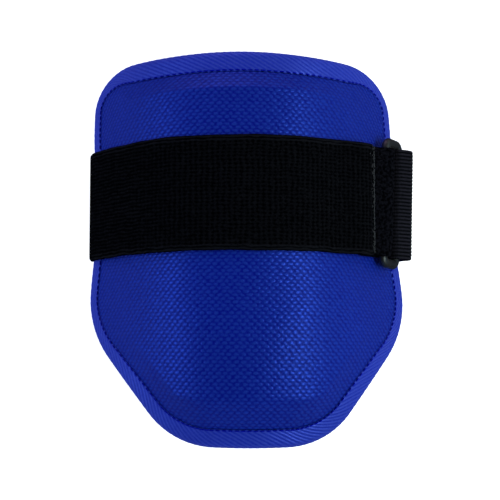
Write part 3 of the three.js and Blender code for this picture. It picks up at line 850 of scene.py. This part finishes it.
# knit: level + cos columns + cos rows, so holes show where both are low; Draw near 1 leaves only the rows
def knitGroup():
    tree, given, put = newGroup(
        "knitDots",
        (("Cloth", vector, None), ("Along", number, 2.42), ("Across", number, 1.62), ("Draw", number, 0.2),
         ("Column", number, 0.6), ("Row", number, 0.55), ("Spread", number, 0.5), ("Level", number, 0.7),
         ("Share", number, 1.0)),
        (("Height", number),))
    place = splitNode(tree, given["Cloth"])
    wobble = minus(tree, noiseNode(tree, given["Cloth"], 0.16, 2.0), 0.5)
    u = plus(tree, mathNode(tree, "DIVIDE", place["X"], given["Along"]), wobble)
    v = plus(tree, mathNode(tree, "DIVIDE", place["Y"], given["Across"]), wobble)

    def cell(at):  # wave along the map and the number of the cell
        return (mathNode(tree, "COSINE", times(tree, at, 2 * np.pi)),
                mathNode(tree, "FLOOR", plus(tree, at, 0.5)))

    waveU, countU = cell(u)
    waveV, countV = cell(v)
    spot = addNode(tree, "CombineXYZ", {"X": countU, "Y": countV})
    own = addNode(tree, "TexWhiteNoise", {"Vector": spot[0]}, noise_dimensions="2D")
    columns = times(tree, rangeNode(tree, given["Draw"], 0.0, 1.0, given["Column"], 0.0), waveU)
    rows = times(tree, given["Row"], waveV)
    scatter = times(tree, minus(tree, own["Value"], 0.5), given["Spread"])
    total = plus(tree, plus(tree, columns, rows), plus(tree, scatter, given["Level"]))
    total.node.use_clamp = True
    tree.links.new(times(tree, total, given["Share"]), put["Height"])
    return tree


# cloth tone: slow fading and fine lint over object space, plus the tone of the weave itself
def toneGroup():
    tree, given, put = newGroup(
        "clothTone",
        (("Base", colour, (0.5, 0.5, 0.5, 1.0)), ("Deep", colour, (0.1, 0.1, 0.1, 1.0)),
         ("Weave", number, 1.0), ("Fade", number, 0.2), ("Lint", number, 0.1), ("Rough", number, 0.68),
         ("Swing", number, 0.0), ("Shine", number, 0.0)),
        (("Color", colour), ("Roughness", number), ("Gloss", number)))
    place = tree.nodes.new("ShaderNodeTexCoord").outputs["Object"]
    slow = minus(tree, noiseNode(tree, place, 38.0, 3.0), 0.5)
    fine = minus(tree, noiseNode(tree, place, 900.0, 2.0, 0.7), 0.5)
    lint = times(tree, fine, given["Lint"])
    mask = plus(tree, given["Weave"], lint)
    mask.node.use_clamp = True
    mix = addNode(tree, "Mix", {"Factor": mask, "A": given["Deep"], "B": given["Base"]}, data_type="RGBA")
    gain = plus(tree, times(tree, slow, given["Fade"]), 1.0)
    scale = addNode(tree, "VectorMath", {0: mix["Result"], "Scale": gain}, operation="SCALE")
    tree.links.new(scale[0], put["Color"])
    sway = times(tree, minus(tree, 0.5, mask), given["Swing"])
    tree.links.new(plus(tree, given["Rough"], sway), put["Roughness"])
    tree.links.new(times(tree, mask, given["Shine"]), put["Gloss"])
    return tree


weaveTree, threadTree, knitTree, toneTree = weaveGroup(), threadGroup(), knitGroup(), toneGroup()


def placeGroup(tree, group, **values):
    return addNode(tree, "Group", values, node_tree=group)


def newMaterial(name):
    material = bpy.data.materials.new(name)
    material.use_nodes = True
    tree = material.node_tree
    return material, tree, tree.nodes["Principled BSDF"]


def clothMap(tree):
    return addNode(tree, "UVMap", {}, uv_map="cloth")[0]


def addBump(tree, shader, height, strength, distance):
    values = {"Strength": strength, "Distance": distance * mm, "Height": height}
    fill(tree, shader, {"Normal": addNode(tree, "Bump", values)[0]})


def clothMaterial(name, base, deep, weave, height, look):
    # one cloth: tone from the weave mask, bump from the height, gloss and sheen set on the shader
    material, tree, shader = newMaterial(name)
    mask, relief = weave(tree), height(tree)
    tone = placeGroup(tree, toneTree, Base=(*base, 1.0), Deep=(*deep, 1.0), Weave=mask,
                      Fade=look["fade"], Lint=look["lint"], Rough=look["rough"], Swing=look["swing"],
                      Shine=look["shine"])
    fill(tree, shader, {
        "Base Color": tone["Color"], "Roughness": tone["Roughness"],
        "Metallic": tone["Gloss"] if look["shine"] else None,
        "Specular IOR Level": look["gloss"], "Specular Tint": (*look["glossTint"], 1.0),
        "Sheen Weight": look["sheen"], "Sheen Roughness": 0.45, "Sheen Tint": (*look["sheenTint"], 1.0)})
    addBump(tree, shader, relief, look["bump"], look["deepMm"])
    return material


def weaveOf(output):
    return lambda tree: placeGroup(tree, weaveTree, Cloth=clothMap(tree))[output]


def linesOf(pitch, degrees, wander=0.9, sharp=1.0):
    return lambda tree: placeGroup(tree, threadTree, Cloth=clothMap(tree), Pitch=pitch,
                                   Turn=float(np.radians(degrees)), Wander=wander, Sharp=sharp)["Height"]


# painted shade: the facet before the fold, turned away from the light, gets a weaker and darker tone
def foldShadedOf(lines, upTo, share):  # the same lines, weaker up to a length along the band
    def build(tree):
        along = splitNode(tree, clothMap(tree))["X"]
        return times(tree, lines(tree), rangeNode(tree, along, upTo - 0.3, upTo + 0.3, share, 1.0))
    return build


def knitOf():
    # dots turn to dashes between two lengths along the strap, and at its rims; along the far side the rib
    # columns fade and the tone is painted darker, as painted shade
    rim = band["strapWidth"] / 2 - elastic["selvage"]

    def build(tree):
        cloth = clothMap(tree)
        place = splitNode(tree, cloth)
        draw = rangeNode(tree, place["X"], elastic["drawFrom"], elastic["drawTo"],
                         elastic["draw"], elastic["drawFar"])
        edge = rangeNode(tree, mathNode(tree, "ABSOLUTE", place["Y"]), rim - 0.3, rim + 0.3, 0.0, 1.0)
        both = mathNode(tree, "MAXIMUM", draw, edge)
        level = rangeNode(tree, place["X"], elastic["shadeFrom"], elastic["drawTo"],
                          elastic["level"], elastic["shadedLevel"])
        share = rangeNode(tree, edge, 0.0, 1.0, elastic["bodyShare"], 1.0)
        return placeGroup(tree, knitTree, Cloth=cloth, Draw=both, Level=level, Share=share)["Height"]
    return build


def mottledOf(scale, low, high):  # soft uneven patches on the cloth's own map
    return lambda tree: rangeNode(tree, noiseNode(tree, clothMap(tree), scale, 3.0, 0.6), low, high, 0.0, 1.0)


def shades(mean, lift):  # light and dark of a weave round its mean colour
    light = tuple(m * (1 + k) for m, k in zip(mean, lift))
    dark = tuple(m * (1 - k) for m, k in zip(mean, lift))
    return light, dark


royal = {"fade": 0.16, "lint": 1.6, "gloss": 0.14, "glossTint": (0.48, 0.72, 1.0), "rough": 0.4, "swing": 0.2,
         "shine": 0.28, "sheen": 0.0, "sheenTint": (0.35, 0.45, 1.0), "bump": 0.42, "deepMm": 0.4}
black = {"fade": 0.3, "lint": 1.3, "gloss": 0.008, "glossTint": (0.8, 0.85, 1.0), "rough": 0.7, "swing": 0.0,
         "shine": 0.0, "sheen": 0.0, "sheenTint": (0.6, 0.62, 0.75), "bump": 0.6, "deepMm": 0.3}

# royalMeshCloth: light floats and dark holes of the weave, partly real tone; the large red and green swing
# paints whitish highlights on the floats
padCloth = clothMaterial(
    "royalMeshCloth", *shades((0.0067, 0.0234, 0.330), (0.98, 0.84, 0.30)),
    weaveOf("Float"), weaveOf("Height"), royal)
padInside = clothMaterial(
    "royalLining", *shades((0.0075, 0.022, 0.29), (0.3, 0.2, 0.12)),
    linesOf(0.9, 90.0), linesOf(0.9, 90.0), {**royal, "gloss": 0.2, "sheen": 0.1, "bump": 0.35})
# royalTwillTape: tone in step with the geometric ridges, light crowns and dark valleys, painted shade over
# the twill
tapeCloth = clothMaterial(
    "royalTwillTape", *shades((0.0262, 0.0470, 0.47), (0.55, 0.42, 0.11)),
    linesOf(1.0, 0.0, 0.12), linesOf(1.0, 0.0, 0.12), {**royal, "shine": 0.16, "bump": 0.3, "deepMm": 0.1})
# navy thread, darkened further in red and green so it also paints the shade line in the gap at the tape's rim
seamThread = clothMaterial(
    "navyShadedSeamThread", *shades((0.0002, 0.0020, 0.33), (0.4, 0.4, 0.2)),
    linesOf(0.5, 35.0), linesOf(0.5, 35.0), {**royal, "gloss": 0.02, "shine": 0.0, "deepMm": 0.1})
strapCloth = clothMaterial(
    "blackElastic", (0.0078, 0.0077, 0.0100), (0.0000, 0.0001, 0.0003),
    knitOf(), knitOf(), {**black, "lint": 1.2, "deepMm": 0.5})
pileThread = clothMaterial(
    "blackLoopThread", (0.0060, 0.0060, 0.0076), (0.0007, 0.0008, 0.0012),
    linesOf(0.4, 35.0), linesOf(0.4, 35.0), {**black, "deepMm": 0.05})
tabCloth = clothMaterial(
    "blackPile", (0.0060, 0.0058, 0.0087), (0.0002, 0.0002, 0.0006),
    mottledOf(0.75, 0.42, 0.58), mottledOf(0.75, 0.38, 0.64), {**black, "lint": 2.4})
# blackRibbedWebbing: rib valleys painted dark between light crowns, and the facet before the fold painted
# darker: painted shade
webCloth = clothMaterial(
    "blackRibbedWebbing", (0.0150, 0.0130, 0.0195), (0.0006, 0.0006, 0.0010),
    foldShadedOf(linesOf(webbing["ribPitch"], 90.0, 0.05, 0.6), webbing["fold"], webbing["foldShadeShare"]),
    linesOf(0.62, 0.0), {**black, "gloss": 0.06, "deepMm": 0.15})
# greyEndThread: light grey thread; on the strap's end it also paints the highlight along the cut edge
endThread = clothMaterial(
    "greyEndThread", (0.058, 0.058, 0.062), (0.018, 0.018, 0.020),
    linesOf(0.4, 35.0), linesOf(0.4, 35.0), {**black, "gloss": 0.2, "deepMm": 0.08})


def plasticMaterial():
    # moulded ring: fine grain in the bump, roughness that drifts a little
    material, tree, shader = newMaterial("charcoalMouldedPlastic")
    place = tree.nodes.new("ShaderNodeTexCoord").outputs["Object"]
    drift = noiseNode(tree, place, 120.0, 3.0)
    tone = placeGroup(tree, toneTree, Base=(0.021, 0.020, 0.021, 1.0), Deep=(0.013, 0.0125, 0.013, 1.0),
                      Weave=drift, Fade=0.2, Lint=0.1)
    fill(tree, shader, {
        "Base Color": tone["Color"], "Roughness": rangeNode(tree, drift, 0.3, 0.7, 0.34, 0.5),
        "Specular IOR Level": 0.5})
    addBump(tree, shader, noiseNode(tree, place, 2600.0, 2.0, 0.6), 0.25, 0.08)
    return material


ringPlastic = plasticMaterial()
for piece, cloths in (
        (padShell, (padCloth, padInside)), (edgeTape, (tapeCloth,)), (seamThreads, (seamThread,)),
        (hookTab, (tabCloth,)), (elasticStrap, (strapCloth,)), (ringLoop, (webCloth,)),
        (strapRing, (ringPlastic,)), (endThreads, (endThread,)), (lapThreads, (endThread,)),
        (strapPile, (pileThread,))):
    for cloth in cloths:
        piece.data.materials.append(cloth)
print("materials placed")


# stage: pale floor, soft lights and the camera

stage = {
    "floorSize": 6.0, "floorTone": 0.9, "floorGlow": 0.95,
    "tilt": 5.5, "away": 640.0, "lens": 107.8, "sensor": 36.0, "aimX": 2.11, "aimY": -0.2, "aimZ": 58.0,
    "world": 0.01, "lightAway": 1.0, "lightAimZ": 0.03,
    "lights": (  # name, angle off the upright, bearing from +X, length, width, power, tint
        ("rightSoftbox", 45.0, -13.0, 0.95, 0.30, 6.2, (0.86, 1.06, 1.0)),
        ("rightRim", 77.0, 0.0, 0.80, 0.80, 0.8, (0.10, 0.42, 1.0)),
        ("leftSoftbox", 65.0, 193.0, 0.95, 0.40, 2.9, (0.66, 0.86, 1.0)),
        ("highLeftFill", 60.0, 145.0, 1.00, 1.00, 1.2, (0.46, 0.68, 1.0)),
        ("leftRim", 78.0, 180.0, 0.80, 0.80, 1.4, (0.22, 0.44, 1.0)),
        ("lowFill", 70.0, 270.0, 0.80, 0.80, 0.6, (0.02, 0.30, 1.0)),
        ("highRightFill", 70.0, 45.0, 0.60, 0.60, 1.0, (0.75, 0.88, 1.0)),
        ("highFill", 70.0, 100.0, 0.90, 0.90, 2.7, (0.95, 0.62, 0.95)),
    ),
}


def makeFloor():
    half = stage["floorSize"] / 2
    mesh = bpy.data.meshes.new("pale_floor")
    corners = [(-half, -half, 0), (half, -half, 0), (half, half, 0), (-half, half, 0)]
    mesh.from_pydata(corners, [], [(0, 1, 2, 3)])
    floor = placed("pale_floor", mesh)
    material, tree, shader = newMaterial("paleFloor")
    tone = stage["floorTone"]
    fill(tree, shader, {
        "Base Color": (tone, tone, tone, 1.0), "Roughness": 0.9, "Specular IOR Level": 0.1,
        "Emission Color": (1.0, 1.0, 1.0, 1.0), "Emission Strength": stage["floorGlow"]})
    mesh.materials.append(material)
    floor.visible_glossy = False  # the cloth is photographed clear of any bright table


def aimAt(thing, spot, target):  # look along the line from spot to target
    back = np.array(spot) - np.array(target)
    thing.location = spot
    thing.rotation_euler = (
        float(np.arctan2(np.hypot(back[0], back[1]), back[2])), 0.0, float(np.arctan2(back[0], -back[1])))


def makeLights():
    for name, off, bearing, length, width, power, tint in stage["lights"]:
        lamp = bpy.data.lights.new(name, "AREA")
        lamp.shape = "ELLIPSE"
        lamp.size, lamp.size_y = length, width
        lamp.energy = power
        lamp.color = tint
        holder = placed(name, lamp)
        lean, turn = np.radians(off), np.radians(bearing)
        way = np.array([np.sin(lean) * np.cos(turn), np.sin(lean) * np.sin(turn), np.cos(lean)])
        target = np.array([0.0, 0.0, stage["lightAimZ"]])
        aimAt(holder, target + stage["lightAway"] * way, target)
    world = bpy.data.worlds.new("softRoom")
    world.use_nodes = True
    fill(world.node_tree, world.node_tree.nodes["Background"],
         {"Color": (1.0, 1.0, 1.0, 1.0), "Strength": stage["world"]})
    bpy.context.scene.world = world


def makeCamera():
    lens = bpy.data.cameras.new("frontCamera")
    lens.lens, lens.sensor_width = stage["lens"], stage["sensor"]
    lens.clip_start, lens.clip_end = 0.01, 20.0
    eye = placed("frontCamera", lens)
    tilt = np.radians(stage["tilt"])
    aim = np.array([pad["axisX"] + stage["aimX"], pad["axisY"] + stage["aimY"], stage["aimZ"]])
    eye.location = (aim + stage["away"] * np.array([0.0, -np.sin(tilt), np.cos(tilt)])) * mm
    eye.rotation_euler = (float(tilt), 0.0, 0.0)
    bpy.context.scene.camera = eye


makeFloor()
makeLights()
makeCamera()
bpy.context.scene.view_settings.view_transform = "Standard"
print("stage set")
